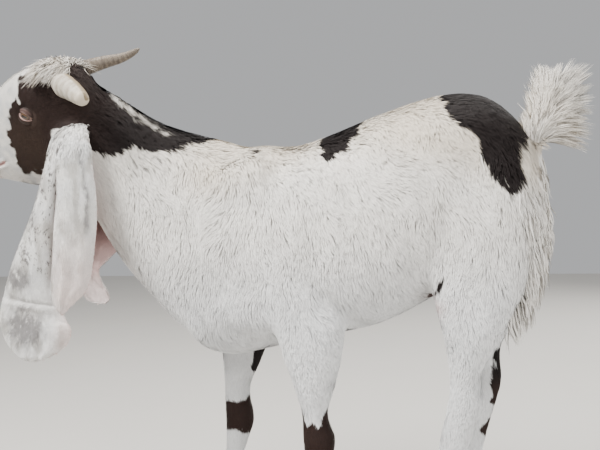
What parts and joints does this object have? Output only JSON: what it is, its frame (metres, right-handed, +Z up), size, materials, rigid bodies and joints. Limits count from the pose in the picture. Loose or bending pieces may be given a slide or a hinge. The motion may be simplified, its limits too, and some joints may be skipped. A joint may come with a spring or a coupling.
{
  "type": "nubian goat",
  "caption": "Young Nubian goat standing square, life size, with long hanging lop ears, convex face, short curved horns and a raised plume tail",
  "frame": {"origin": "middle of the bounding box on the floor under the animal", "axes": "+X toward the tail, so the nose points to -X; +Z up; -Y is the animal's left side"},
  "size_m": [0.9747, 0.2791, 0.8278],
  "materials": {
    "coat": "short to medium white hair with black-brown patches",
    "ear_coat": "very short white hair, speckled grey, pink skin inside",
    "horn": "ringed keratin, matt",
    "eye": "wet and glossy",
    "hoof": "worn keratin"
  },
  "bodies": {
    "root": {"head": "coat", "neck": "coat", "torso": "coat", "rump": "coat", "tail": "coat", "foreleg_left_upper": "coat", "foreleg_left_lower": "coat", "foreleg_right_upper": "coat", "foreleg_right_lower": "coat", "hindleg_left_upper": "coat", "hindleg_left_lower": "coat", "hindleg_right_upper": "coat", "hindleg_right_lower": "coat", "ear_left": "ear_coat", "ear_right": "ear_coat", "horn_left": "horn", "horn_right": "horn", "eye_left": "eye", "eye_right": "eye", "hoof_fore_left_inner": "hoof", "hoof_fore_left_outer": "hoof", "hoof_fore_right_inner": "hoof", "hoof_fore_right_outer": "hoof", "hoof_hind_left_inner": "hoof", "hoof_hind_left_outer": "hoof", "hoof_hind_right_inner": "hoof", "hoof_hind_right_outer": "hoof"}
  },
  "joints": []
}
